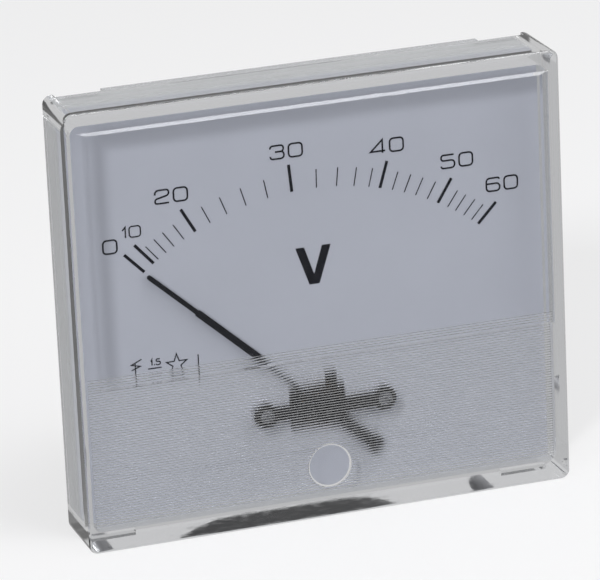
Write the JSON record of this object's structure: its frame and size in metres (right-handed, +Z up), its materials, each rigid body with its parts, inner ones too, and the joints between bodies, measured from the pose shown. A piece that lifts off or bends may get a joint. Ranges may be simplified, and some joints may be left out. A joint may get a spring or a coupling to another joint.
{
  "type": "analog panel meter",
  "caption": "Rectangular panel voltmeter with a clear ribbed front cover, printed dial, pivoted pointer, rounded square rear drum, screw terminals and panel studs.",
  "frame": {"origin": "centre of the panel seating plane, in the middle of the four studs", "axes": "+Y points back through the panel, the dial faces -Y, +Z is up and +X is right as read"},
  "size_m": [0.09, 0.046, 0.08],
  "materials": {
    "clear_acrylic": "polished",
    "grey_plastic": "satin",
    "black_plastic": "satin",
    "dial_paint": "matte",
    "black_metal": "satin",
    "pointer_paint": "matte",
    "bare_aluminium": "satin",
    "brass": "satin",
    "steel": "satin",
    "spring_bronze": "polished",
    "copper_wire": "gloss",
    "tinned_brass": "satin",
    "jewel": "polished",
    "resistor_body": "satin",
    "lead_sleeve": "satin"
  },
  "bodies": {
    "housing": {"front_cover": "clear_acrylic", "base_frame": "grey_plastic", "rear_drum": "black_plastic", "drum_screws": "steel", "dial_plate": "dial_paint", "movement_plate": "black_metal", "plate_screws": "steel", "bridge_posts": "brass", "bridge_bar": "black_metal", "bridge_screws": "steel", "front_jewel_screw": "black_metal", "front_lock_nut": "black_metal", "rear_jewel_screw": "brass", "rear_lock_nut": "brass", "pivot_jewels": "jewel", "spring_arm": "black_metal", "hairspring": "spring_bronze", "coil_bobbin": "black_plastic", "coil_winding": "copper_wire", "fixed_iron": "steel", "damping_box": "black_plastic", "damping_lid": "black_plastic", "damping_screws": "steel", "terminal_studs": "brass", "solder_tags": "tinned_brass", "terminal_washers": "brass", "terminal_lock_nuts": "brass", "clamp_washers": "brass", "clamp_nuts": "brass", "series_resistor": "resistor_body", "terminal_lead": "lead_sleeve", "resistor_lead": "lead_sleeve", "mounting_studs": "steel"},
    "moving_system": {"spindle": "steel", "pointer": "pointer_paint", "pointer_collet": "brass", "hairspring_collet": "brass", "balance_weight": "brass", "moving_iron": "steel", "iron_carrier": "bare_aluminium", "damping_vane": "bare_aluminium"}
  },
  "joints": [
    {"name": "pointer_turn", "type": "hinge", "parent": "housing", "child": "moving_system", "pos_m": [0.00055, 0, -0.0206], "axis": [0, 1, 0], "range_deg": [-1.5, 95.5], "stiffness_Nm_per_rad": 0.00003, "deforming": ["hairspring"]}
  ]
}
